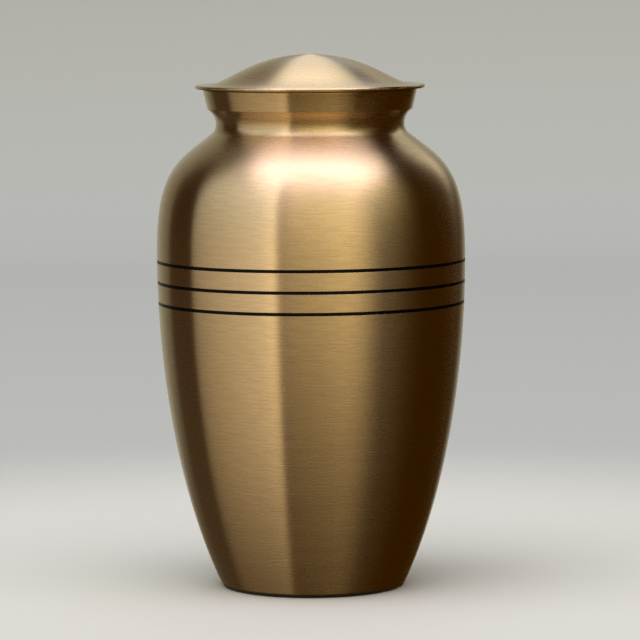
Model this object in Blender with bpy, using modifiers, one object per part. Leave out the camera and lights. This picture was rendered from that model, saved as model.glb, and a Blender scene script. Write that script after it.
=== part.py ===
"""Turned brass cremation urn: a hollow vessel, the domed lid that lifts off it, and a felt pad under its base.

Metres, +Z up. The origin is on the urn's axis, on the surface that it stands on.
"""
import math
from operator import attrgetter

import bmesh
import bpy
from mathutils import Vector

# How finely the pieces are turned
TURN_STEPS = 48
OUTSIDE_DETAIL = 10
INSIDE_DETAIL = 6

# Felt pad glued under the base
PAD_THICKNESS = 0.0012
PAD_INSET = 0.0010
REST_GAP = 0.0003

# Outline of the vessel from its foot up, where each rise starts at the station below it
FOOT_RADIUS = 0.0464
FOOT_EDGE = 0.0007
FOOT_LEAN = math.radians(24.5)
BELLY_RISE = 0.1649
BELLY_RADIUS = 0.0771
NECK_RISE = 0.0653
NECK_RADIUS = 0.0470
SHOULDER_SLOPE = math.radians(51.8)
SHOULDER_FILLET = 0.0059
THROAT_RADIUS = 0.0091
THROAT_TURN = math.radians(56.9)
COLLAR_HEIGHT = 0.0099
COLLAR_FLARE = 0.0023
CREASE_EDGE = 0.0006
RIM_EDGE = 0.0007

# Fullness of the two long curves: how far each end holds its direction, as a share of the curve's rise
FOOT_FULLNESS = 0.345
LOWER_BELLY_FULLNESS = 0.291
UPPER_BELLY_FULLNESS = 0.711
SHOULDER_FULLNESS = 0.361

# Hollow of the vessel
WALL = 0.0020
FLOOR = 0.0025
FLOOR_FILLET = 0.0040
MOUTH_EDGE = 0.0005

# Engraved grooves round the belly, counted down from the top one
GROOVE_COUNT = 3
GROOVE_PITCH = 0.0104
GROOVE_WIDTH = 0.0016
GROOVE_DEPTH = 0.0005
TOP_GROOVE_UNDER_BELLY = 0.0024

# Lid: a domed shell with a flat brim, and a skirt that drops into the neck
BRIM_OVERHANG = 0.0039
BRIM_THICKNESS = 0.0018
BRIM_WIDTH = 0.0048
BRIM_EDGE = 0.0008
DOME_HEIGHT = 0.0150
CROWN_FULLNESS = 0.586
BRIM_FULLNESS = 0.233
LID_WALL = 0.0018
SKIRT_CLEARANCE = 0.0004
SKIRT_WALL = 0.0020
SKIRT_DEPTH = 0.0120
SKIRT_EDGE = 0.0005

# Share of a side that an eased corner may take, and the handle length that makes it round
CORNER_SHARE = 0.45
ROUND_HANDLE = 0.55
CORNER_STEPS = 2
ARC_STEPS = 4

# Outline points are (radius, height)
radius_of = attrgetter("x")
height_of = attrgetter("y")
UP = Vector((0.0, 1.0))
OUT = Vector((1.0, 0.0))

# Colours are linear RGB
BRUSHED_BRASS = (0.60, 0.42, 0.17)
BLACK_FELT = (0.012, 0.012, 0.013)


def curve(start, leave, arrive, end, steps, inset=0.0):
    """Points along a cubic curve, each moved by the inset to the left of the way it runs."""
    points = []
    for step in range(steps + 1):
        t = step / steps
        s = 1.0 - t
        point = start * s ** 3 + leave * 3 * s * s * t + arrive * 3 * s * t * t + end * t ** 3
        along = (leave - start) * s * s + (arrive - leave) * 2 * s * t + (end - arrive) * t * t
        along.normalize()
        points.append(point + Vector((-along.y, along.x)) * inset)
    return points


def arc(centre, radius, first, last, steps):
    """Points on an arc between two angles, counted from outwards towards up."""
    angles = [first + (last - first) * step / steps for step in range(steps + 1)]
    return [centre + Vector((math.cos(angle), math.sin(angle))) * radius for angle in angles]


def eased(before, corner, after, size):
    """A corner of an outline, rounded over the given size along both its sides."""
    reach = min(size, CORNER_SHARE * (before - corner).length, CORNER_SHARE * (after - corner).length)
    start = corner + (before - corner).normalized() * reach
    end = corner + (after - corner).normalized() * reach
    return curve(start, start.lerp(corner, ROUND_HANDLE), end.lerp(corner, ROUND_HANDLE), end, CORNER_STEPS)


def until(points, reading, limit):
    """The start of an outline, up to where one reading of its points passes the limit."""
    rising = reading(points[-1]) > reading(points[0])
    kept = [points[0]]
    for before, after in zip(points, points[1:]):
        if (reading(after) > limit) == rising:
            share = (limit - reading(before)) / (reading(after) - reading(before))
            return kept + [before.lerp(after, share)]
        kept.append(after)
    return kept


def vessel_stations():
    """The foot, the belly and the neck: where the wall's curves meet, with the foot at height 0."""
    foot = OUT * FOOT_RADIUS
    belly = OUT * BELLY_RADIUS + UP * BELLY_RISE
    neck = OUT * NECK_RADIUS + UP * (BELLY_RISE + NECK_RISE)
    return foot, belly, neck


def vessel_wall(detail, inset=0.0):
    """The wall from the foot up to the narrowest place of the neck, moved inwards by the inset."""
    foot, belly, neck = vessel_stations()
    lean = Vector((math.sin(FOOT_LEAN), math.cos(FOOT_LEAN)))
    lower = curve(
        foot, foot + lean * BELLY_RISE * FOOT_FULLNESS,
        belly - UP * BELLY_RISE * LOWER_BELLY_FULLNESS, belly, detail, inset)
    fillet_centre = neck + OUT * SHOULDER_FILLET
    slope = Vector((math.sin(SHOULDER_SLOPE), -math.cos(SHOULDER_SLOPE)))
    shoulder_end = fillet_centre - Vector((math.cos(SHOULDER_SLOPE), math.sin(SHOULDER_SLOPE))) * SHOULDER_FILLET
    rise = shoulder_end.y - belly.y
    upper = curve(
        belly, belly + UP * rise * UPPER_BELLY_FULLNESS,
        shoulder_end + slope * rise * SHOULDER_FULLNESS, shoulder_end, detail, inset)
    fillet = arc(fillet_centre, SHOULDER_FILLET + inset, math.pi + SHOULDER_SLOPE, math.pi, ARC_STEPS)
    return lower + upper[1:] + fillet[1:]


def engraved(outline, height):
    """A falling outline with one square groove cut into it."""
    above = until(outline, height_of, height + GROOVE_WIDTH / 2)
    below = until(outline[::-1], height_of, height - GROOVE_WIDTH / 2)[::-1]
    floor = [above[-1] - OUT * GROOVE_DEPTH, below[0] - OUT * GROOVE_DEPTH]
    return above + floor + below


def crease():
    """The corner where the throat ends and the collar starts."""
    centre = vessel_stations()[2] + OUT * THROAT_RADIUS
    return centre + Vector((-math.cos(THROAT_TURN), math.sin(THROAT_TURN))) * THROAT_RADIUS


def rim():
    """The outer corner of the vessel's rim, which the lid's brim rests on."""
    return crease() + OUT * COLLAR_FLARE + UP * COLLAR_HEIGHT


def bore_radius():
    """The inside of the neck and the collar, which the lid's skirt drops into."""
    return NECK_RADIUS - WALL


def vessel_profile():
    """The vessel from the centre of its floor up the inside, over the rim and down the outside."""
    mouth = OUT * bore_radius() + UP * rim().y
    inside = vessel_wall(INSIDE_DETAIL, WALL)[::-1]
    inside = until(inside, height_of, FLOOR + FLOOR_FILLET)
    floor_centre = UP * FLOOR
    floor_corner = OUT * inside[-1].x + floor_centre
    hollow = [floor_centre] + eased(floor_centre, floor_corner, inside[-1], FLOOR_FILLET) + inside[::-1]

    neck = vessel_stations()[2]
    throat = arc(neck + OUT * THROAT_RADIUS, THROAT_RADIUS, math.pi - THROAT_TURN, math.pi, ARC_STEPS)
    top = eased(neck - OUT * WALL, mouth, rim(), MOUTH_EDGE)
    top += eased(mouth, rim(), crease(), RIM_EDGE)
    top += eased(rim(), crease(), throat[1], CREASE_EDGE)

    outside = throat[1:] + vessel_wall(OUTSIDE_DETAIL)[::-1][1:]
    for groove in range(GROOVE_COUNT):
        outside = engraved(outside, BELLY_RISE - TOP_GROOVE_UNDER_BELLY - groove * GROOVE_PITCH)
    foot = outside.pop()
    underside = eased(outside[-1], foot, Vector((0.0, 0.0)), FOOT_EDGE)
    return hollow + top + outside + underside + [Vector((0.0, 0.0))]


def lid_profile():
    """The lid from its crown down the outside, under the brim, round the skirt and up the inside."""
    brim_radius = rim().x + BRIM_OVERHANG
    dome_radius = brim_radius - BRIM_WIDTH
    skirt_radius = bore_radius() - SKIRT_CLEARANCE
    crown = UP * (BRIM_THICKNESS + DOME_HEIGHT)
    dome_foot = OUT * dome_radius + UP * BRIM_THICKNESS
    handles = crown + OUT * dome_radius * CROWN_FULLNESS, dome_foot - OUT * dome_radius * BRIM_FULLNESS
    dome = curve(crown, *handles, dome_foot, OUTSIDE_DETAIL)
    lining = curve(crown, *handles, dome_foot, OUTSIDE_DETAIL, -LID_WALL)

    brim_top = OUT * brim_radius + UP * BRIM_THICKNESS
    brim_bottom = OUT * brim_radius
    skirt_root = OUT * skirt_radius
    skirt_end = skirt_root - UP * SKIRT_DEPTH
    skirt_inside = skirt_end - OUT * SKIRT_WALL
    lining = until(lining, radius_of, skirt_inside.x)

    profile = list(dome)
    profile += eased(dome_foot, brim_top, brim_bottom, BRIM_EDGE)
    profile += eased(brim_top, brim_bottom, skirt_root, BRIM_EDGE)
    profile += [skirt_root]
    profile += eased(skirt_root, skirt_end, skirt_inside, SKIRT_EDGE)
    profile += [skirt_inside]
    return profile + lining[::-1]


def finish(name, colour, roughness, metallic):
    """A plain material for one piece."""
    material = bpy.data.materials.new(name)
    material.use_nodes = True
    shader = material.node_tree.nodes["Principled BSDF"]
    shader.inputs["Base Color"].default_value = (*colour, 1.0)
    shader.inputs["Roughness"].default_value = roughness
    shader.inputs["Metallic"].default_value = metallic
    material.diffuse_color = (*colour, 1.0)
    return material


def placed(name, mesh, height, material, collection, parent):
    """One piece of the urn, set at its height on the axis."""
    piece = bpy.data.objects.new(name, mesh)
    collection.objects.link(piece)
    piece.location.z = height
    piece.parent = parent
    mesh.materials.clear()
    mesh.materials.append(material)
    return piece


def turned(name, profile, height, material, collection, parent):
    """A piece turned from its profile, which runs down its outer side."""
    outline = bpy.data.meshes.new(name + "_profile")
    edges = [(start, start + 1) for start in range(len(profile) - 1)]
    outline.from_pydata([(point.x, 0.0, point.y) for point in profile], edges, [])
    piece = placed(name, outline, height, material, collection, parent)
    lathe = piece.modifiers.new("Lathe", "SCREW")
    lathe.steps = TURN_STEPS
    lathe.render_steps = TURN_STEPS
    lathe.use_merge_vertices = True
    lathe.merge_threshold = 0.00001
    bpy.context.view_layer.update()
    solid = bpy.data.meshes.new_from_object(piece.evaluated_get(bpy.context.evaluated_depsgraph_get()))
    piece.modifiers.clear()
    piece.data = solid
    bpy.data.meshes.remove(outline)
    solid.name = name
    solid.shade_smooth()
    solid.set_sharp_from_angle(angle=math.radians(25.0))
    return piece


def felt_disc():
    """The pad as a flat disc about its own middle."""
    mesh = bpy.data.meshes.new("felt_pad")
    disc = bmesh.new()
    radius = FOOT_RADIUS - PAD_INSET
    bmesh.ops.create_cone(
        disc, cap_ends=True, segments=TURN_STEPS, radius1=radius, radius2=radius, depth=PAD_THICKNESS)
    disc.to_mesh(mesh)
    disc.free()
    mesh.shade_smooth()
    mesh.set_sharp_from_angle(angle=math.radians(25.0))
    return mesh


def clear_scene():
    """An empty scene to build in."""
    for leftover in list(bpy.data.objects):
        bpy.data.objects.remove(leftover)


def build_urn():
    """All three pieces, from the surface up."""
    clear_scene()
    collection = bpy.data.collections.new("cremation_urn")
    bpy.context.scene.collection.children.link(collection)
    stand = bpy.data.objects.new("urn_axis", None)
    collection.objects.link(stand)

    felt = finish("black felt", BLACK_FELT, 0.95, 0.0)
    placed("felt_pad", felt_disc(), PAD_THICKNESS / 2, felt, collection, stand)

    foot_height = PAD_THICKNESS + REST_GAP
    body_brass = finish("brushed brass body", BRUSHED_BRASS, 0.36, 1.0)
    turned("urn_body", vessel_profile(), foot_height, body_brass, collection, stand)

    brim_height = foot_height + rim().y + REST_GAP
    lid_brass = finish("brushed brass lid", BRUSHED_BRASS, 0.33, 1.0)
    turned("urn_lid", lid_profile(), brim_height, lid_brass, collection, stand)


build_urn()
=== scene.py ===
"""Looks of a turned brass cremation urn: brushed brass vessel and lid, enamelled grooves and a felt pad.

Metres, +Z up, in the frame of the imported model. The origin is on the urn's axis, where the urn stands.
"""
import math
from operator import attrgetter

import bmesh
import bpy
from bpy.props import FloatProperty, FloatVectorProperty, IntProperty, PointerProperty
from mathutils import Matrix, Vector


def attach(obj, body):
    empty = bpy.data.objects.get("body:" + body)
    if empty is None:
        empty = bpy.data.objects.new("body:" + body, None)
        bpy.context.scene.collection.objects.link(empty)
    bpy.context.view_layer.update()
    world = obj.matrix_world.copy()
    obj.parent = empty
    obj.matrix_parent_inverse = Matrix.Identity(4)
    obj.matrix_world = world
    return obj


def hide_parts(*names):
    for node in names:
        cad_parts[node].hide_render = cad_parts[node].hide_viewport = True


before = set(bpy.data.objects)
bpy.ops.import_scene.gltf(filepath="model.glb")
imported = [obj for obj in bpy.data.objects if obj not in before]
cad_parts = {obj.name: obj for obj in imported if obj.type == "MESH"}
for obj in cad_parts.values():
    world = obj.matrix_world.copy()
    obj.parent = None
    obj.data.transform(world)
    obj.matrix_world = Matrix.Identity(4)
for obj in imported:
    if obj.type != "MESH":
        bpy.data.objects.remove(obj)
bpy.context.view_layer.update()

bl_info = {
    "name": "Cremation Urn",
    "version": (1, 0, 0),
    "blender": (4, 5, 0),
    "location": "View3D > Sidebar > Urn",
    "description": "Builds the finished pieces of a brushed brass cremation urn round its packed solids",
    "category": "Add Mesh",
}

BODY = "root"

MM = 0.001
UP = Vector((0.0, 1.0))
OUT = Vector((1.0, 0.0))

# Readings of a point on an outline
radius_of = attrgetter("x")
height_of = attrgetter("y")

# Share of a side that an eased corner may take, the handle that makes it round, and the flat kept beside it
CORNER_SHARE = 0.45
ROUND_HANDLE = 0.55
CORNER_STEPS = 4
CORNER_FLAT = 0.12 * MM

# How finely the outlines are drawn
BELLY_STEPS = 78
SHOULDER_STEPS = 56
FILLET_STEPS = 12
THROAT_STEPS = 14
LINING_STEPS = 26
DOME_STEPS = 60
LINING_DOME_STEPS = 26
PAD_STEPS = 30
ENAMEL_STEPS = 8
MERGE_DISTANCE = 0.002 * MM

# Patterns of the finishes. Noise keeps near its middle, so this share of its range is used.
NOISE_RANGE = (0.3, 0.7)

# Brass: its roughness across a brush mark, what the broad bands of polish add to it, how far the surface
# leans up or down in a mark, and where the noise of the bands starts, away from that of the marks
BRUSH_ROUGHNESS = (0.275, 0.26)
BAND_ROUGHNESS = (0.0, 0.01)
BRUSH_LEAN = math.radians(0.6)
BAND_START = 40.0

# Enamel: the length and height of its slow waves, and its roughness
ENAMEL_FLOW = 6 * MM
ENAMEL_WAVE = 0.02 * MM
ENAMEL_ROUGHNESS = (0.24, 0.34)

# Felt: a real fibre is too fine to show here, so the nap is drawn in tufts of this width and depth
FIBRE = 0.35 * MM
FIBRE_DEPTH = 0.1 * MM

# The camera: its sensor in millimetres, and how near and far it sees
SENSOR_WIDTH = 36.0
CLIP_START = 0.1
CLIP_END = 50.0

# The floor that sweeps up into a backdrop, and where its paint goes over from the one to the other
SWEEP_REACH = 2.7
SWEEP_RADIUS = 0.7
SWEEP_HEIGHT = 3.0
SWEEP_LEVEL_STEPS = 12
SWEEP_BEND_STEPS = 24
SWEEP_TURN_STEPS = 96
FLOOR_FADE = (0.25, 0.6)

# The soft light over the floor
LAMP_PLACE = Vector((-0.6, -0.5, 2.6))
LAMP_WIDTH = 2.4

# What stands round the urn. Azimuth and elevation are in degrees. Azimuth 0 is where the camera stands, and
# it grows to the camera's right. Strength goes from the one at the first azimuth to the one at the last.
ROOM = "#362100"
UPRIGHT_PANELS = (
    # The softbox left of the camera, lightest at its near side
    {"azimuth": (-100, -27), "side_softness": (1, 1), "elevation": (7, 52), "end_softness": (50, 1),
     "colour": "#F3FCFB", "strength": (0.75, 1.15)},
    # The foot of the same light
    {"azimuth": (-100, -25), "side_softness": (2, 4), "elevation": (-25, 0), "end_softness": (30, 30),
     "colour": "#FFEFC8", "strength": (0.25, 1.25)},
    # Fill from beside the camera
    {"azimuth": (-35, 40), "side_softness": (10, 35), "elevation": (-11, 24), "end_softness": (10, 10),
     "colour": "#FFF1BC", "strength": (0.25, 1.25)},
    # Fill from above the camera
    {"azimuth": (-20, 80), "side_softness": (15, 40), "elevation": (25, 49), "end_softness": (50, 1),
     "colour": "#F8F8BC", "strength": (0.75, 0.90)},
    # Pale wall behind the urn
    {"azimuth": (165, 228), "side_softness": (40, 3), "elevation": (-13, 50), "end_softness": (2, 50),
     "colour": "#F9FFEA", "strength": (0.55, 0.10)},
    # Pale wall behind the urn, to the right
    {"azimuth": (142, 157), "side_softness": (15, 20), "elevation": (13, 38), "end_softness": (20, 15),
     "colour": "#FEFFEE", "strength": (1.25, 0.65)},
    # Faint light from low on the left
    {"azimuth": (-165, -105), "side_softness": (10, 10), "elevation": (-40, -5), "end_softness": (20, 10),
     "colour": "#E8F0E0", "strength": (0.04, 0.04)},
)

# Flat panels overhead: how far towards the camera and to its right, as shares of their height over the urn.
# Strength goes from the one at the far end to the one at the end by the camera. They show down to the
# horizon, which is set a little above level, as the sine of an angle.
HORIZON = 0.04
OVERHEAD_PANELS = (
    # The large softbox overhead
    {"ahead": (-0.1, 0.95), "end_softness": (0.75, 1.5),
     "across": (-0.63, 0.83), "side_softness": (0.4, 0.3), "colour": "#E6DEF6", "strength": (5.2, 2.1)},
    # Its light rear part
    {"ahead": (-0.63, -0.35), "end_softness": (0.2, 0.3),
     "across": (-0.33, 0.5), "side_softness": (0.1, 0.1), "colour": "#EAFFD0", "strength": (1.7, 1.4)},
    # Ceiling behind the urn
    {"ahead": (-2.4, -0.3), "end_softness": (1.5, 0.2),
     "across": (-0.2, 0.35), "side_softness": (0.1, 0.55), "colour": "#D1E3FF", "strength": (0.9, 0.5)},
)


def linear(code):
    """An sRGB hex colour as linear RGBA."""
    levels = [int(code[start:start + 2], 16) / 255 for start in (1, 3, 5)]
    return tuple(c / 12.92 if c <= 0.04045 else ((c + 0.055) / 1.055) ** 2.4 for c in levels) + (1.0,)


def length(name, description, millimetres):
    """A size that the user can change, given in millimetres."""
    return FloatProperty(
        name=name, description=description, default=millimetres * MM, min=0.0, precision=5, unit="LENGTH",
        subtype="DISTANCE")


def share(name, description, value):
    """A factor without a unit."""
    return FloatProperty(
        name=name, description=description, default=value, min=0.0, precision=3, subtype="FACTOR")


def turn(name, description, degrees):
    """An angle that the user can change, given in degrees."""
    return FloatProperty(
        name=name, description=description, default=math.radians(degrees), unit="ROTATION", subtype="ANGLE")


def colour(name, description, code):
    """A colour that the user can change, given as an sRGB hex value."""
    return FloatVectorProperty(
        name=name, description=description, default=linear(code), size=4, min=0.0, max=1.0, subtype="COLOR")


class UrnVesselSizes(bpy.types.PropertyGroup):
    """Sizes of the turned vessel, each counted from the station below it."""

    foot_radius: length("Foot Radius", "Radius of the brass at its foot", 46.4)
    foot_edge: length("Foot Edge", "Rounding of the foot's edge", 0.7)
    foot_lean: turn("Foot Lean", "How far the wall leans outwards as it leaves the foot", 24.5)
    belly_rise: length("Belly Rise", "From the foot up to the widest place", 164.9)
    belly_radius: length("Belly Radius", "Radius at the widest place", 77.1)
    neck_rise: length("Neck Rise", "From the widest place up to the narrowest place of the neck", 65.3)
    neck_radius: length("Neck Radius", "Radius at the narrowest place of the neck", 47.0)
    shoulder_slope: turn("Shoulder Slope", "Turn of the fillet where the shoulder meets the neck", 51.8)
    shoulder_fillet: length("Shoulder Fillet", "Radius of that fillet", 5.9)
    throat_radius: length("Throat Radius", "Radius of the hollow curve under the collar", 9.1)
    throat_turn: turn("Throat Turn", "Turn of the hollow curve under the collar", 56.9)
    collar_height: length("Collar Height", "From the crease up to the rim", 9.9)
    collar_flare: length("Collar Flare", "How far the collar leans outwards", 2.3)
    crease_edge: length("Crease Edge", "Rounding of the crease under the collar", 0.6)
    rim_edge: length("Rim Edge", "Rounding of the rim's outer edge", 0.7)
    mouth_edge: length("Mouth Edge", "Rounding of the rim's inner edge", 0.5)
    foot_fullness: share("Foot Fullness", "How far the foot's lean holds, of the belly's rise", 0.345)
    lower_fullness: share("Lower Fullness", "How far the belly stays upright, of its rise", 0.291)
    upper_fullness: share("Upper Fullness", "How far the belly stays upright, of the shoulder's rise", 0.711)
    shoulder_fullness: share("Shoulder Fullness", "How far the shoulder's slope holds, of its rise", 0.361)
    wall: length("Wall", "Thickness of the brass wall", 2.0)
    floor: length("Floor", "Thickness of the floor", 2.5)
    floor_fillet: length("Floor Fillet", "Rounding where the floor meets the wall inside", 4.0)
    turn_steps: IntProperty(
        name="Turn Steps", description="Faces round the axis", default=240, min=24, max=256)


class UrnGrooveSizes(bpy.types.PropertyGroup):
    """Sizes of the engraved grooves and of the enamel in them."""

    count: IntProperty(
        name="Grooves", description="Number of grooves, counted down from the top one", default=3, min=1)
    under_belly: length("Under Belly", "From the widest place down to the top groove", 2.4)
    pitch: length("Pitch", "From one groove to the next", 10.4)
    width: length("Width", "Width of a groove", 1.6)
    depth: length("Depth", "Depth of a groove", 0.5)
    edge: length("Edge", "Rounding of the brass at both sides of a groove", 0.06)
    enamel_recess: length("Enamel Recess", "How far the enamel lies below the brass", 0.03)
    enamel_hollow: length("Enamel Hollow", "How far the enamel sinks further in its middle", 0.03)
    enamel_gap: length("Enamel Gap", "Gap between the enamel's mesh and the groove's", 0.01)


class UrnLidSizes(bpy.types.PropertyGroup):
    """Sizes of the domed lid, its brim and its skirt."""

    rest_gap: length("Rest Gap", "Gap that two resting pieces keep", 0.3)
    brim_overhang: length("Brim Overhang", "How far the brim stands out over the rim", 3.9)
    brim_thickness: length("Brim Thickness", "Thickness of the brim", 1.8)
    brim_width: length("Brim Width", "Width of the flat round the dome", 4.8)
    brim_edge: length("Brim Edge", "Rounding of the brim's edges", 0.8)
    dome_height: length("Dome Height", "From the brim's top up to the crown", 15.0)
    crown_fullness: share("Crown Fullness", "How far the crown stays level, of the dome's radius", 0.586)
    brim_fullness: share("Brim Fullness", "How far the brim's level runs up the dome, of its radius", 0.233)
    wall: length("Wall", "Thickness of the dome", 1.8)
    skirt_clearance: length("Skirt Clearance", "Play between the skirt and the neck", 0.4)
    skirt_wall: length("Skirt Wall", "Thickness of the skirt", 2.0)
    skirt_depth: length("Skirt Depth", "How far the skirt drops into the neck", 12.0)
    skirt_edge: length("Skirt Edge", "Rounding of the skirt's lower edge", 0.5)


class UrnPadSizes(bpy.types.PropertyGroup):
    """Sizes of the felt pad under the foot."""

    thickness: length("Thickness", "Thickness of the felt", 1.2)
    inset: length("Inset", "How far the felt's edge lies inside the foot", 1.0)
    edge: length("Edge", "Rounding of the felt's edges", 0.35)


class UrnFinish(bpy.types.PropertyGroup):
    """Colours of the finishes."""

    brass: colour("Brass", "Lacquered brass", "#E2C498")
    brass_low: colour("Brass Low", "Brass in the brush marks", "#DCBE93")
    enamel: colour("Enamel", "Black enamel in the grooves", "#050506")
    # The felt's near-black is partly its own colour and partly painted shade: it stands in for the dark
    # shade line where the foot meets the floor.
    felt: colour("Felt", "Pressed felt", "#0A090A")
    felt_nap: colour("Felt Nap", "Loose fibres of the felt", "#1C1B1D")
    brush_line: length("Brush Line", "Height of one brush mark", 1.0)
    brush_stroke: length("Brush Stroke", "Length of one brush mark round the urn", 8.0)
    band_line: length("Band Line", "Height of the broader bands of polish", 4.0)
    band_stroke: length("Band Stroke", "Length of those bands round the urn", 40.0)


class UrnStudio(bpy.types.PropertyGroup):
    """The stage: where the camera stands and how light the surroundings are."""

    camera_distance: length("Camera Distance", "From the axis to the camera, level", 1950.0)
    camera_height: length("Camera Height", "Over the floor", 318.6)
    camera_pitch: turn("Camera Pitch", "How far the camera looks down", 5.426)
    camera_yaw: turn("Camera Yaw", "How far the camera looks to the right of the axis", 0.1246)
    camera_roll: turn("Camera Roll", "How far the picture's level lines rise to the right", 0.40)
    lens: FloatProperty(
        name="Lens", description="Focal length", default=219.9, min=1.0, unit="CAMERA",
        subtype="DISTANCE_CAMERA")
    floor: colour("Floor", "Pale floor round the urn", "#BABBB0")
    wall: colour("Wall", "Pale grey backdrop", "#9EA29A")
    floor_light: FloatProperty(
        name="Floor Light", description="Power of the soft light over the floor", default=30.0, min=0.0,
        unit="POWER")


class UrnSettings(bpy.types.PropertyGroup):
    """All settings of the urn."""

    vessel: PointerProperty(type=UrnVesselSizes)
    grooves: PointerProperty(type=UrnGrooveSizes)
    lid: PointerProperty(type=UrnLidSizes)
    pad: PointerProperty(type=UrnPadSizes)
    finish: PointerProperty(type=UrnFinish)
    studio: PointerProperty(type=UrnStudio)


# Outlines: points are (radius, height), with height 0 at the foot of the piece


def curve(start, leave, arrive, end, steps, inset=0.0):
    """Points along a cubic curve, each moved by the inset to the left of the way it runs."""
    points = []
    for step in range(steps + 1):
        t = step / steps
        s = 1.0 - t
        point = start * s ** 3 + leave * 3 * s * s * t + arrive * 3 * s * t * t + end * t ** 3
        along = (leave - start) * s * s + (arrive - leave) * 2 * s * t + (end - arrive) * t * t
        along.normalize()
        points.append(point + Vector((-along.y, along.x)) * inset)
    return points


def arc(centre, radius, first, last, steps):
    """Points on an arc between two angles, counted from outwards towards up."""
    angles = [first + (last - first) * step / steps for step in range(steps + 1)]
    return [centre + Vector((math.cos(angle), math.sin(angle))) * radius for angle in angles]


def eased(before, corner, after, size):
    """A corner rounded over the given size along both its sides, with a short flat kept at each end."""
    reach = min(size, CORNER_SHARE * (before - corner).length, CORNER_SHARE * (after - corner).length)
    back, forth = (before - corner).normalized(), (after - corner).normalized()
    start, end = corner + back * reach, corner + forth * reach
    flat = min(CORNER_FLAT, reach / 2)
    bend = curve(start, start.lerp(corner, ROUND_HANDLE), end.lerp(corner, ROUND_HANDLE), end, CORNER_STEPS)
    return [start + back * flat] + bend + [end + forth * flat]


def until(points, reading, limit):
    """The start of an outline, up to where a reading of its points passes the limit."""
    rising = reading(points[-1]) > reading(points[0])
    kept = [points[0]]
    for before, after in zip(points, points[1:]):
        if (reading(after) > limit) == rising:
            part = (limit - reading(before)) / (reading(after) - reading(before))
            return kept + [before.lerp(after, part)]
        kept.append(after)
    return kept


def vessel_stations(vessel):
    """The foot, the belly and the neck: where the wall's curves meet."""
    foot = OUT * vessel.foot_radius
    belly = OUT * vessel.belly_radius + UP * vessel.belly_rise
    neck = OUT * vessel.neck_radius + UP * (vessel.belly_rise + vessel.neck_rise)
    return foot, belly, neck


def vessel_wall(vessel, lower_steps, upper_steps, inset=0.0):
    """The wall from the foot up to the narrowest place of the neck, moved inwards by the inset."""
    foot, belly, neck = vessel_stations(vessel)
    lean = Vector((math.sin(vessel.foot_lean), math.cos(vessel.foot_lean)))
    lower = curve(
        foot, foot + lean * vessel.belly_rise * vessel.foot_fullness,
        belly - UP * vessel.belly_rise * vessel.lower_fullness, belly, lower_steps, inset)
    fillet_centre = neck + OUT * vessel.shoulder_fillet
    slope = Vector((math.sin(vessel.shoulder_slope), -math.cos(vessel.shoulder_slope)))
    shoulder_end = fillet_centre - slope.orthogonal() * vessel.shoulder_fillet
    rise = shoulder_end.y - belly.y
    upper = curve(
        belly, belly + UP * rise * vessel.upper_fullness,
        shoulder_end + slope * rise * vessel.shoulder_fullness, shoulder_end, upper_steps, inset)
    fillet_radius = vessel.shoulder_fillet + inset
    fillet = arc(fillet_centre, fillet_radius, math.pi + vessel.shoulder_slope, math.pi, FILLET_STEPS)
    return lower + upper[1:] + fillet[1:]


def crease(vessel):
    """The corner where the throat ends and the collar starts."""
    centre = vessel_stations(vessel)[2] + OUT * vessel.throat_radius
    way = Vector((-math.cos(vessel.throat_turn), math.sin(vessel.throat_turn)))
    return centre + way * vessel.throat_radius


def rim(vessel):
    """The outer corner of the rim, which the lid's brim rests on."""
    return crease(vessel) + OUT * vessel.collar_flare + UP * vessel.collar_height


def groove_heights(vessel, grooves):
    """The middle of each groove, from the top one down."""
    top = vessel.belly_rise - grooves.under_belly
    return [top - index * grooves.pitch for index in range(grooves.count)]


def engraved(outline, height, grooves):
    """A falling outline with one groove cut into it, its corners eased."""
    above = until(outline, height_of, height + grooves.width / 2)
    below = until(outline[::-1], height_of, height - grooves.width / 2)[::-1]
    top, bottom = above[-1], below[0]
    top_floor, bottom_floor = top - OUT * grooves.depth, bottom - OUT * grooves.depth
    notch = eased(above[-2], top, top_floor, grooves.edge)
    notch += eased(top, top_floor, bottom_floor, grooves.edge)
    notch += eased(top_floor, bottom_floor, bottom, grooves.edge)
    notch += eased(bottom_floor, bottom, below[1], grooves.edge)
    return above[:-1] + notch + below[1:]


def vessel_outline(vessel, grooves):
    """The vessel from the centre of its floor up the inside, over the rim and down the outside."""
    neck = vessel_stations(vessel)[2]
    mouth = neck - OUT * vessel.wall
    mouth.y = rim(vessel).y
    inside = vessel_wall(vessel, LINING_STEPS, LINING_STEPS, vessel.wall)[::-1]
    inside = until(inside, height_of, vessel.floor + vessel.floor_fillet)
    floor_centre = UP * vessel.floor
    floor_corner = OUT * inside[-1].x + floor_centre
    floor_edge = eased(floor_centre, floor_corner, inside[-1], vessel.floor_fillet)
    hollow = [floor_centre] + floor_edge + inside[::-1]

    throat_centre = neck + OUT * vessel.throat_radius
    throat = arc(throat_centre, vessel.throat_radius, math.pi - vessel.throat_turn, math.pi, THROAT_STEPS)
    top = eased(neck - OUT * vessel.wall, mouth, rim(vessel), vessel.mouth_edge)
    top += eased(mouth, rim(vessel), crease(vessel), vessel.rim_edge)
    top += eased(rim(vessel), crease(vessel), throat[1], vessel.crease_edge)

    outside = throat[2:] + vessel_wall(vessel, BELLY_STEPS, SHOULDER_STEPS)[::-1][1:]
    for height in groove_heights(vessel, grooves):
        outside = engraved(outside, height, grooves)
    foot = outside.pop()
    underside = eased(outside[-1], foot, Vector((0.0, 0.0)), vessel.foot_edge)
    return hollow + top + outside + underside + [Vector((0.0, 0.0))]


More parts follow.
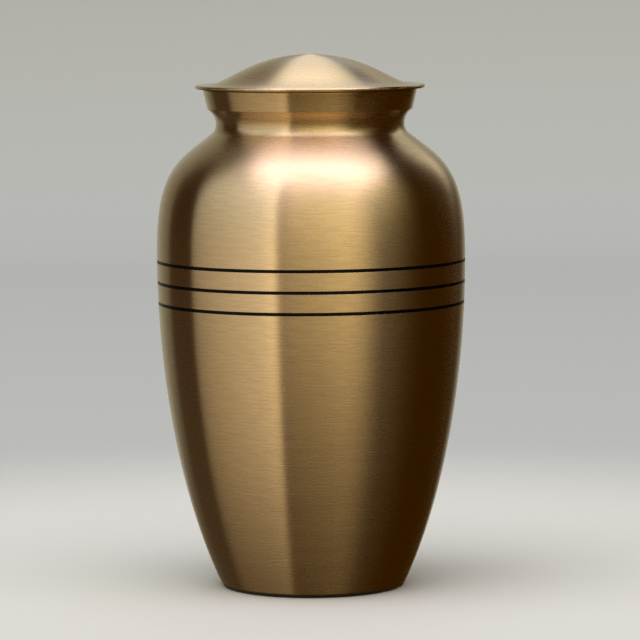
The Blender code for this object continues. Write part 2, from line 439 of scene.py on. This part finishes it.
def lid_outline(vessel, lid):
    """The lid from its crown down the outside, under the brim, round the skirt and up the inside."""
    brim_radius = rim(vessel).x + lid.brim_overhang
    dome_radius = brim_radius - lid.brim_width
    skirt_radius = vessel.neck_radius - vessel.wall - lid.skirt_clearance
    crown = UP * (lid.brim_thickness + lid.dome_height)
    dome_foot = OUT * dome_radius + UP * lid.brim_thickness
    crown_handle = crown + OUT * dome_radius * lid.crown_fullness
    brim_handle = dome_foot - OUT * dome_radius * lid.brim_fullness
    dome = curve(crown, crown_handle, brim_handle, dome_foot, DOME_STEPS)
    lining = curve(crown, crown_handle, brim_handle, dome_foot, LINING_DOME_STEPS, -lid.wall)

    brim_top = OUT * brim_radius + UP * lid.brim_thickness
    brim_bottom = OUT * brim_radius
    skirt_root = OUT * skirt_radius
    skirt_end = skirt_root - UP * lid.skirt_depth
    skirt_inside = skirt_end - OUT * lid.skirt_wall
    lining = until(lining, radius_of, skirt_inside.x)

    outline = dome
    outline += eased(dome_foot, brim_top, brim_bottom, lid.brim_edge)
    outline += eased(brim_top, brim_bottom, skirt_root, lid.brim_edge)
    outline += eased(brim_bottom, skirt_root, skirt_end, lid.skirt_edge)
    outline += eased(skirt_root, skirt_end, skirt_inside, lid.skirt_edge)
    outline += eased(skirt_end, skirt_inside, lining[-1], lid.skirt_edge)
    return outline + lining[::-1]


def pad_outline(vessel, pad):
    """The felt pad from the middle of its top over the cut edge to the middle of its underside."""
    radius = vessel.foot_radius - pad.inset
    centre_top, centre_bottom = UP * pad.thickness, Vector((0.0, 0.0))
    top, bottom = OUT * radius + centre_top, OUT * radius
    level = [centre_top.lerp(top, step / PAD_STEPS) for step in range(PAD_STEPS)]
    under = [bottom.lerp(centre_bottom, step / PAD_STEPS) for step in range(1, PAD_STEPS + 1)]
    edges = eased(centre_top, top, bottom, pad.edge) + eased(top, bottom, centre_bottom, pad.edge)
    return level + edges + under


def enamel_section(grooves):
    """The enamel in a groove, with its face sunk in the middle: points are (out from the brass, up)."""
    half = grooves.width / 2 - grooves.enamel_gap
    face, back = -grooves.enamel_recess, grooves.enamel_gap - grooves.depth
    sunk = face - grooves.enamel_hollow
    corners = [Vector(corner) for corner in ((face, half), (sunk, half), (sunk, -half), (face, -half))]
    return curve(*corners, ENAMEL_STEPS) + [Vector((back, -half)), Vector((back, half))]


# Node trees


def add(tree, kind, inputs=(), **settings):
    """Adds a node with its settings and its inputs, each linked or set, and gives back its outputs."""
    node = tree.nodes.new(kind)
    for name, value in settings.items():
        setattr(node, name, value)
    for key, value in inputs.items() if isinstance(inputs, dict) else enumerate(inputs):
        if isinstance(value, bpy.types.NodeSocket):
            tree.links.new(value, node.inputs[key])
        else:
            node.inputs[key].default_value = value
    return node.outputs


def geometry_tree(name, inputs):
    """A Geometry Nodes tree with a Geometry input, further named inputs and a Geometry output."""
    tree = bpy.data.node_groups.new(name, "GeometryNodeTree")
    for label, kind in (("Geometry", "NodeSocketGeometry"), *inputs):
        tree.interface.new_socket(label, in_out="INPUT", socket_type=kind)
    tree.interface.new_socket("Geometry", in_out="OUTPUT", socket_type="NodeSocketGeometry")
    return tree, add(tree, "NodeGroupInput")


def ended(tree, geometry, material):
    """The end of every tree: copies made real, faces smooth, the material set and the result put out."""
    real = add(tree, "GeometryNodeRealizeInstances", (geometry,))[0]
    smooth = add(tree, "GeometryNodeSetShadeSmooth", (real,))[0]
    painted = add(tree, "GeometryNodeSetMaterial", {"Geometry": smooth, "Material": material})[0]
    add(tree, "NodeGroupOutput", (painted,))


def lathe_tree():
    """Turns an outline about Z: a grid whose rows take the outline's points and whose columns go round."""
    tree, given = geometry_tree("Lathe", (
        ("Steps", "NodeSocketInt"), ("Merge Distance", "NodeSocketFloat"), ("Finish", "NodeSocketMaterial")))
    rows = add(tree, "GeometryNodeAttributeDomainSize", (given["Geometry"],), component="MESH")[0]
    columns = add(tree, "ShaderNodeMath", (given["Steps"], 1.0), operation="ADD")[0]
    sheet = add(tree, "GeometryNodeMeshGrid", {"Vertices X": columns, "Vertices Y": rows})[0]

    index = add(tree, "GeometryNodeInputIndex")[0]
    row = add(tree, "ShaderNodeMath", (index, rows), operation="MODULO")[0]
    strip = add(tree, "ShaderNodeMath", (index, rows), operation="DIVIDE")[0]
    column = add(tree, "ShaderNodeMath", (strip,), operation="FLOOR")[0]
    turned = add(tree, "ShaderNodeMath", (column, given["Steps"]), operation="DIVIDE")[0]
    angle = add(tree, "ShaderNodeMath", (turned, math.tau), operation="MULTIPLY")[0]

    position = add(tree, "GeometryNodeInputPosition")[0]
    point = add(tree, "GeometryNodeSampleIndex", {
        "Geometry": given["Geometry"], "Value": position, "Index": row}, data_type="FLOAT_VECTOR")[0]
    spun = add(tree, "ShaderNodeVectorRotate", {"Vector": point, "Angle": angle}, rotation_type="Z_AXIS")[0]

    along = add(tree, "GeometryNodeInputNamedAttribute", {"Name": "along"}, data_type="FLOAT")[0]
    along = add(tree, "GeometryNodeSampleIndex", {
        "Geometry": given["Geometry"], "Value": along, "Index": row}, data_type="FLOAT")[0]
    marked = add(tree, "GeometryNodeStoreNamedAttribute", {
        "Geometry": sheet, "Name": "along", "Value": along}, data_type="FLOAT", domain="POINT")[0]
    bent = add(tree, "GeometryNodeSetPosition", {"Geometry": marked, "Position": spun})[0]
    closed = add(tree, "GeometryNodeMergeByDistance", {
        "Geometry": bent, "Distance": given["Merge Distance"]})[0]
    ended(tree, closed, given["Finish"])
    return tree


def ring_tree():
    """Lays a ring at each station (radius, 0, height): a circle of that radius, swept by the section."""
    tree, given = geometry_tree("Rings", (
        ("Section", "NodeSocketObject"), ("Steps", "NodeSocketInt"), ("Finish", "NodeSocketMaterial")))
    station = add(tree, "ShaderNodeSeparateXYZ", (add(tree, "GeometryNodeInputPosition")[0],))
    noted = add(tree, "GeometryNodeStoreNamedAttribute", {
        "Geometry": given["Geometry"], "Name": "reach", "Value": station["X"]},
        data_type="FLOAT", domain="POINT")[0]
    on_axis = add(tree, "ShaderNodeCombineXYZ", {"Z": station["Z"]})[0]
    centred = add(tree, "GeometryNodeSetPosition", {"Geometry": noted, "Position": on_axis})[0]
    reach = add(tree, "GeometryNodeInputNamedAttribute", {"Name": "reach"}, data_type="FLOAT")[0]
    width = add(tree, "ShaderNodeCombineXYZ", (reach, reach, 1.0))[0]
    circle = add(tree, "GeometryNodeCurvePrimitiveCircle", {"Resolution": given["Steps"], "Radius": 1.0})[0]
    rings = add(tree, "GeometryNodeInstanceOnPoints", {
        "Points": centred, "Instance": circle, "Scale": width})[0]
    real = add(tree, "GeometryNodeRealizeInstances", (rings,))[0]
    upright = add(tree, "GeometryNodeSetCurveNormal", (real,), mode="Z_UP")[0]
    section = add(tree, "GeometryNodeObjectInfo", {"Object": given["Section"]})["Geometry"]
    outline = add(tree, "GeometryNodeMeshToCurve", (section,))[0]
    swept = add(tree, "GeometryNodeCurveToMesh", {"Curve": upright, "Profile Curve": outline})[0]
    ended(tree, swept, given["Finish"])
    return tree


def outline_mesh(name, points):
    """The points as a mesh of edges, each point marked with how far along the outline it lies."""
    mesh = bpy.data.meshes.new(name)
    edges = [(start, start + 1) for start in range(len(points) - 1)]
    mesh.from_pydata([(point.x, 0.0, point.y) for point in points], edges, [])
    lengths = [0.0]
    for before, after in zip(points, points[1:]):
        lengths.append(lengths[-1] + (after - before).length)
    mesh.attributes.new("along", "FLOAT", "POINT").data.foreach_set("value", lengths)
    return mesh


def grown(name, mesh, tree, inputs):
    """The tree run on the mesh, with its result kept as a plain mesh at the origin."""
    piece = bpy.data.objects.new(name, mesh)
    bpy.context.scene.collection.objects.link(piece)
    modifier = piece.modifiers.new(tree.name, "NODES")
    modifier.node_group = tree
    for socket in tree.interface.items_tree:
        if socket.name in inputs:
            modifier[socket.identifier] = inputs[socket.name]
    bpy.context.view_layer.update()
    result = bpy.data.meshes.new_from_object(piece.evaluated_get(bpy.context.evaluated_depsgraph_get()))
    piece.modifiers.clear()
    piece.data = result
    bpy.data.meshes.remove(mesh)
    result.name = name
    return piece


def lathed(name, points, steps, finish):
    """A piece turned from its outline."""
    return grown(name, outline_mesh(name + "_outline", points), lathe_tree(), {
        "Steps": steps, "Merge Distance": MERGE_DISTANCE, "Finish": finish})


def seated(piece, slot, *nodes):
    """A closed piece, its faces outwards, rides with the urn and stands for the nodes that it replaces."""
    shell = bmesh.new()
    shell.from_mesh(piece.data)
    if any(len(edge.link_faces) != 2 for edge in shell.edges):
        raise RuntimeError(piece.name + " is not closed")
    bmesh.ops.recalc_face_normals(shell, faces=shell.faces)
    if shell.calc_volume(signed=True) < 0:
        bmesh.ops.reverse_faces(shell, faces=shell.faces)
    shell.to_mesh(piece.data)
    shell.free()
    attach(piece, BODY)
    if nodes:
        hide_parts(*nodes)


# Finishes

MADE = {}


def shared(make, finish):
    """The material that a function makes, made once."""
    if make not in MADE:
        MADE[make] = make(finish)
    return MADE[make]


def new_material(name):
    """A material with an empty tree."""
    material = bpy.data.materials.new(name)
    material.use_nodes = True
    material.node_tree.nodes.clear()
    return material, material.node_tree


def surfaced(tree, inputs):
    """The shader at the end of a material's tree."""
    shader = add(tree, "ShaderNodeBsdfPrincipled", inputs)
    add(tree, "ShaderNodeOutputMaterial", {"Surface": shader["BSDF"]})


def streaks(tree, stroke, line, start):
    """Noise drawn out round the axis: a stroke of the abrasive long, and a line high along the outline."""
    place = add(tree, "ShaderNodeSeparateXYZ", (add(tree, "ShaderNodeTexCoord")["Object"],))
    along = add(tree, "ShaderNodeAttribute", attribute_name="along")["Fac"]
    lines = add(tree, "ShaderNodeMath", (along, line), operation="DIVIDE")[0]
    vector = add(tree, "ShaderNodeCombineXYZ", (
        add(tree, "ShaderNodeMath", (place["X"], stroke), operation="DIVIDE")[0],
        add(tree, "ShaderNodeMath", (place["Y"], stroke), operation="DIVIDE")[0],
        add(tree, "ShaderNodeMath", (lines, start), operation="ADD")[0]))[0]
    return add(tree, "ShaderNodeTexNoise", {"Vector": vector, "Scale": 1.0, "Detail": 1.0})["Fac"]


def brushed_brass(finish):
    """Brass, turned and brushed round its axis with a fine abrasive, then clear-lacquered.

    The brush marks run round the urn, so what it reflects is drawn out up and down and stays sharp sideways:
    whatever stands beside it shows as an upright band. The lacquer greys the brass where it turns away.
    A real mark is about 0.1 mm high, too fine to show here, so the marks are drawn about 1 mm high.
    """
    material, tree = new_material("brushed lacquered brass")
    fine = streaks(tree, finish.brush_stroke, finish.brush_line, 0.0)
    broad = streaks(tree, finish.band_stroke, finish.band_line, BAND_START)
    mark = add(tree, "ShaderNodeMapRange", (fine, *NOISE_RANGE, 0.0, 1.0))[0]
    tint = add(tree, "ShaderNodeMix", {
        "Factor": mark, "A": tuple(finish.brass_low), "B": tuple(finish.brass)}, data_type="RGBA")
    rough = add(tree, "ShaderNodeMapRange", (fine, *NOISE_RANGE, *BRUSH_ROUGHNESS))[0]
    worn = add(tree, "ShaderNodeMapRange", (broad, *NOISE_RANGE, *BAND_ROUGHNESS))[0]
    lean = add(tree, "ShaderNodeMapRange", (fine, *NOISE_RANGE, -BRUSH_LEAN, BRUSH_LEAN))[0]
    upwards = add(tree, "ShaderNodeCombineXYZ", {"Z": lean})[0]
    facing = add(tree, "ShaderNodeNewGeometry")["Normal"]
    leaned = add(tree, "ShaderNodeVectorMath", (facing, upwards), operation="ADD")[0]
    surfaced(tree, {
        "Base Color": tint["Result"],
        "Metallic": 1.0,
        "Roughness": add(tree, "ShaderNodeMath", (rough, worn), operation="ADD")[0],
        "Anisotropic": 1.0,
        "Anisotropic Rotation": 0.25,
        "Tangent": add(tree, "ShaderNodeTangent", direction_type="RADIAL", axis="Z")[0],
        "Coat Weight": 0.5,
        "Coat Roughness": 0.3,
        "Normal": add(tree, "ShaderNodeVectorMath", (leaned,), operation="NORMALIZE")[0],
    })
    return material


def black_enamel(finish):
    """Black enamel, laid in the grooves and fired: smooth and semi-gloss, so each groove reads as a line."""
    material, tree = new_material("fired black enamel")
    place = add(tree, "ShaderNodeTexCoord")["Object"]
    flow = add(tree, "ShaderNodeTexNoise", {"Vector": place, "Scale": 1 / ENAMEL_FLOW, "Detail": 2.0})["Fac"]
    surfaced(tree, {
        "Base Color": tuple(finish.enamel),
        "Specular IOR Level": 0.1,
        "Roughness": add(tree, "ShaderNodeMapRange", (flow, *NOISE_RANGE, *ENAMEL_ROUGHNESS))[0],
        "Normal": add(tree, "ShaderNodeBump", {
            "Strength": 0.4, "Distance": ENAMEL_WAVE, "Height": flow})[0],
    })
    return material


def felt_with_painted_foot_shade(finish):
    """Pressed wool felt, die-cut: matt black, with short fibres every way and a faint paler nap. Its
    near-black is also painted shade: it stands in for the dark line of shade under the foot's edge.
    """
    material, tree = new_material("black wool felt with painted foot shade")
    place = add(tree, "ShaderNodeTexCoord")["Object"]
    fibres = add(tree, "ShaderNodeTexNoise", {
        "Vector": place, "Scale": 1 / FIBRE, "Detail": 6.0, "Roughness": 0.7})["Fac"]
    tint = add(tree, "ShaderNodeMix", {
        "Factor": add(tree, "ShaderNodeMapRange", (fibres, *NOISE_RANGE, 0.0, 1.0))[0],
        "A": tuple(finish.felt), "B": tuple(finish.felt_nap)}, data_type="RGBA")["Result"]
    surfaced(tree, {
        "Base Color": tint,
        "Roughness": 0.95,
        "Sheen Weight": 0.25,
        "Normal": add(tree, "ShaderNodeBump", {
            "Strength": 0.8, "Distance": FIBRE_DEPTH, "Height": fibres})[0],
    })
    return material


def matt_paint(floor, wall):
    """Matt paint, pale on the floor round the urn and going over into the backdrop's grey behind it."""
    material, tree = new_material("matt studio paint")
    place = add(tree, "ShaderNodeTexCoord")["Object"]
    distance = add(tree, "ShaderNodeVectorMath", (place,), operation="LENGTH")["Value"]
    far = add(
        tree, "ShaderNodeMapRange", (distance, *FLOOR_FADE, 0.0, 1.0), interpolation_type="SMOOTHSTEP")[0]
    tint = add(tree, "ShaderNodeMix", {"Factor": far, "A": floor, "B": wall}, data_type="RGBA")["Result"]
    surfaced(tree, {"Base Color": tint, "Roughness": 0.9, "Specular IOR Level": 0.2})
    return material


# Stage


def window(tree, value, span, softness):
    """One inside a span and zero outside it, with a change at each end that is as wide as its softness."""
    ends = []
    for end, soft, levels in zip(span, softness, ((0.0, 1.0), (1.0, 0.0))):
        ends.append(add(
            tree, "ShaderNodeMapRange", (value, end - soft / 2, end + soft / 2, *levels),
            interpolation_type="SMOOTHSTEP")[0])
    return add(tree, "ShaderNodeMath", ends, operation="MULTIPLY")[0]


def surroundings():
    """The studio round the urn, as its brass sees it: soft panels of light in a warm dark room."""
    world = bpy.data.worlds.new("soft studio")
    world.use_nodes = True
    tree = world.node_tree
    tree.nodes.clear()
    way = add(tree, "ShaderNodeSeparateXYZ", (add(tree, "ShaderNodeTexCoord")["Generated"],))
    front = add(tree, "ShaderNodeMath", (way["Y"], -1.0), operation="MULTIPLY")[0]
    azimuth = add(tree, "ShaderNodeMath", (way["X"], front), operation="ARCTAN2")[0]
    azimuth = add(tree, "ShaderNodeMath", (azimuth,), operation="DEGREES")[0]
    elevation = add(tree, "ShaderNodeMath", (way["Z"],), operation="ARCSINE")[0]
    elevation = add(tree, "ShaderNodeMath", (elevation,), operation="DEGREES")[0]
    height = add(tree, "ShaderNodeMath", (way["Z"], HORIZON), operation="MAXIMUM")[0]
    across = add(tree, "ShaderNodeMath", (way["X"], height), operation="DIVIDE")[0]
    ahead = add(tree, "ShaderNodeMath", (front, height), operation="DIVIDE")[0]
    above = add(tree, "ShaderNodeMath", (way["Z"], HORIZON), operation="GREATER_THAN")[0]

    glows = []
    for panel in UPRIGHT_PANELS:
        first, last = panel["azimuth"]
        turned = add(tree, "ShaderNodeMath", (azimuth, (first + last) / 2), operation="SUBTRACT")[0]
        turned = add(tree, "ShaderNodeMath", (turned, -180.0, 180.0), operation="WRAP")[0]
        reach = ((first - last) / 2, (last - first) / 2)
        glows.append((panel, turned, reach, [
            window(tree, turned, reach, panel["side_softness"]),
            window(tree, elevation, panel["elevation"], panel["end_softness"])]))
    for panel in OVERHEAD_PANELS:
        glows.append((panel, ahead, panel["ahead"], [
            window(tree, ahead, panel["ahead"], panel["end_softness"]),
            window(tree, across, panel["across"], panel["side_softness"]), above]))

    light = add(tree, "ShaderNodeRGB")[0]
    light.default_value = linear(ROOM)
    for panel, along, reach, masks in glows:
        level = add(tree, "ShaderNodeMapRange", (along, *reach, *panel["strength"]))[0]
        for mask in masks:
            level = add(tree, "ShaderNodeMath", (level, mask), operation="MULTIPLY")[0]
        glow = linear(panel["colour"])[:3]
        light = add(tree, "ShaderNodeVectorMath", (level, glow, light), operation="MULTIPLY_ADD")[0]
    background = add(tree, "ShaderNodeBackground", {"Color": light})[0]
    add(tree, "ShaderNodeOutputWorld", {"Surface": background})
    bpy.context.scene.world = world


def sweep(studio):
    """A pale floor that sweeps up into a round backdrop, seen by the camera alone."""
    edge = OUT * (SWEEP_REACH - SWEEP_RADIUS)
    level = [edge * (step / SWEEP_LEVEL_STEPS) for step in range(SWEEP_LEVEL_STEPS)]
    bend = arc(edge + UP * SWEEP_RADIUS, SWEEP_RADIUS, -math.pi / 2, 0.0, SWEEP_BEND_STEPS)
    points = level + bend + [OUT * SWEEP_REACH + UP * SWEEP_HEIGHT]
    paint = matt_paint(tuple(studio.floor), tuple(studio.wall))
    floor = lathed("studio_sweep", points[::-1], SWEEP_TURN_STEPS, paint)
    for kind in ("diffuse", "glossy", "transmission", "volume_scatter", "shadow"):
        setattr(floor, "visible_" + kind, False)


def floor_light(studio):
    """A large soft light overhead, for the floor, the felt and the enamel; the brass doesn't mirror it."""
    lamp = bpy.data.lights.new("overhead_softbox", "AREA")
    lamp.shape = "DISK"
    lamp.size = LAMP_WIDTH
    lamp.energy = studio.floor_light
    holder = bpy.data.objects.new("overhead_softbox", lamp)
    holder.location = LAMP_PLACE
    holder.rotation_euler = (-LAMP_PLACE).to_track_quat("-Z", "Y").to_euler()
    holder.visible_glossy = False
    bpy.context.scene.collection.objects.link(holder)


def camera(studio):
    """The camera at the photograph's place and angle."""
    lens = bpy.data.cameras.new("camera")
    lens.lens = studio.lens
    lens.sensor_width = SENSOR_WIDTH
    lens.clip_start = CLIP_START
    lens.clip_end = CLIP_END
    holder = bpy.data.objects.new("camera", lens)
    bpy.context.scene.collection.objects.link(holder)
    place = Matrix.Translation((0.0, -studio.camera_distance, studio.camera_height))
    yaw = Matrix.Rotation(-studio.camera_yaw, 4, "Z")
    pitch = Matrix.Rotation(math.pi / 2 - studio.camera_pitch, 4, "X")
    roll = Matrix.Rotation(-studio.camera_roll, 4, "Z")
    holder.matrix_world = place @ yaw @ pitch @ roll
    bpy.context.scene.camera = holder


# Pieces


def raised(points, height):
    """An outline moved up to its place on the axis."""
    return [point + UP * height for point in points]


def vessel_height(settings):
    """Where the vessel's foot stands over the floor."""
    return settings.pad.thickness + settings.lid.rest_gap


class URN_OT_vessel(bpy.types.Operator):
    """Turn the brass vessel with its engraved grooves"""

    bl_idname = "urn.vessel"
    bl_label = "Brass Vessel"

    def execute(self, context):
        settings = context.scene.urn
        outline = raised(vessel_outline(settings.vessel, settings.grooves), vessel_height(settings))
        brass = shared(brushed_brass, settings.finish)
        piece = lathed("brass_vessel", outline, settings.vessel.turn_steps, brass)
        seated(piece, "brushed_brass", "urn_body")
        return {"FINISHED"}


class URN_OT_enamel(bpy.types.Operator):
    """Lay a ring of black enamel in each groove"""

    bl_idname = "urn.enamel"
    bl_label = "Enamel Rings"

    def execute(self, context):
        settings = context.scene.urn
        vessel, grooves = settings.vessel, settings.grooves
        wall = vessel_wall(vessel, BELLY_STEPS, SHOULDER_STEPS)
        stations = [until(wall, height_of, height)[-1] for height in groove_heights(vessel, grooves)]
        guide = outline_mesh("groove_stations", raised(stations, vessel_height(settings)))

        points = enamel_section(grooves)
        edges = [(start, (start + 1) % len(points)) for start in range(len(points))]
        mesh = bpy.data.meshes.new("enamel_section")
        mesh.from_pydata([(point.x, point.y, 0.0) for point in points], edges, [])
        section = bpy.data.objects.new("enamel_section", mesh)

        piece = grown("groove_enamel", guide, ring_tree(), {
            "Section": section, "Steps": vessel.turn_steps, "Finish": shared(black_enamel, settings.finish)})
        bpy.data.objects.remove(section)
        seated(piece, "black_enamel")
        return {"FINISHED"}


class URN_OT_lid(bpy.types.Operator):
    """Turn the domed lid with its brim and skirt"""

    bl_idname = "urn.lid"
    bl_label = "Domed Lid"

    def execute(self, context):
        settings = context.scene.urn
        brim_height = vessel_height(settings) + rim(settings.vessel).y + settings.lid.rest_gap
        outline = raised(lid_outline(settings.vessel, settings.lid), brim_height)
        brass = shared(brushed_brass, settings.finish)
        piece = lathed("brass_lid", outline, settings.vessel.turn_steps, brass)
        seated(piece, "brushed_brass", "urn_lid")
        return {"FINISHED"}


class URN_OT_felt(bpy.types.Operator):
    """Cut the felt pad under the foot"""

    bl_idname = "urn.felt"
    bl_label = "Felt Pad"

    def execute(self, context):
        settings = context.scene.urn
        outline = pad_outline(settings.vessel, settings.pad)
        # The pad's near-black felt is also painted shade: it gives the dark line of shade under the foot's
        # edge.
        felt = shared(felt_with_painted_foot_shade, settings.finish)
        piece = lathed("black_felt_pad", outline, settings.vessel.turn_steps, felt)
        seated(piece, "black_felt", "felt_pad")
        return {"FINISHED"}


class URN_OT_stage(bpy.types.Operator):
    """Set the floor, the light, the surroundings and the camera"""

    bl_idname = "urn.stage"
    bl_label = "Stage"

    def execute(self, context):
        studio = context.scene.urn.studio
        context.scene.view_settings.view_transform = "Standard"
        surroundings()
        sweep(studio)
        floor_light(studio)
        camera(studio)
        return {"FINISHED"}


class URN_PT_pieces(bpy.types.Panel):
    """The urn's pieces, each with the settings that it is built from"""

    bl_label = "Urn"
    bl_idname = "URN_PT_pieces"
    bl_space_type = "VIEW_3D"
    bl_region_type = "UI"
    bl_category = "Urn"

    def draw(self, context):
        for operator, groups in PANEL_ROWS:
            box = self.layout.box()
            box.operator(operator.bl_idname)
            for group in groups:
                settings = getattr(context.scene.urn, group)
                for name in settings.__annotations__:
                    box.prop(settings, name)


PANEL_ROWS = (
    (URN_OT_felt, ("pad",)),
    (URN_OT_vessel, ("vessel", "finish")),
    (URN_OT_enamel, ("grooves",)),
    (URN_OT_lid, ("lid",)),
    (URN_OT_stage, ("studio",)),
)
GROUPS = (UrnVesselSizes, UrnGrooveSizes, UrnLidSizes, UrnPadSizes, UrnFinish, UrnStudio, UrnSettings)
CLASSES = (*GROUPS, *(operator for operator, _ in PANEL_ROWS), URN_PT_pieces)


def register():
    """Makes the classes and the scene's settings known."""
    for listed in CLASSES:
        bpy.utils.register_class(listed)
    bpy.types.Scene.urn = PointerProperty(type=UrnSettings)


def unregister():
    """Takes them away again."""
    del bpy.types.Scene.urn
    for listed in reversed(CLASSES):
        bpy.utils.unregister_class(listed)


def main():
    """Builds every piece and the stage."""
    register()
    bpy.ops.urn.felt()
    bpy.ops.urn.vessel()
    bpy.ops.urn.enamel()
    bpy.ops.urn.lid()
    bpy.ops.urn.stage()


if __name__ == "__main__":
    main()
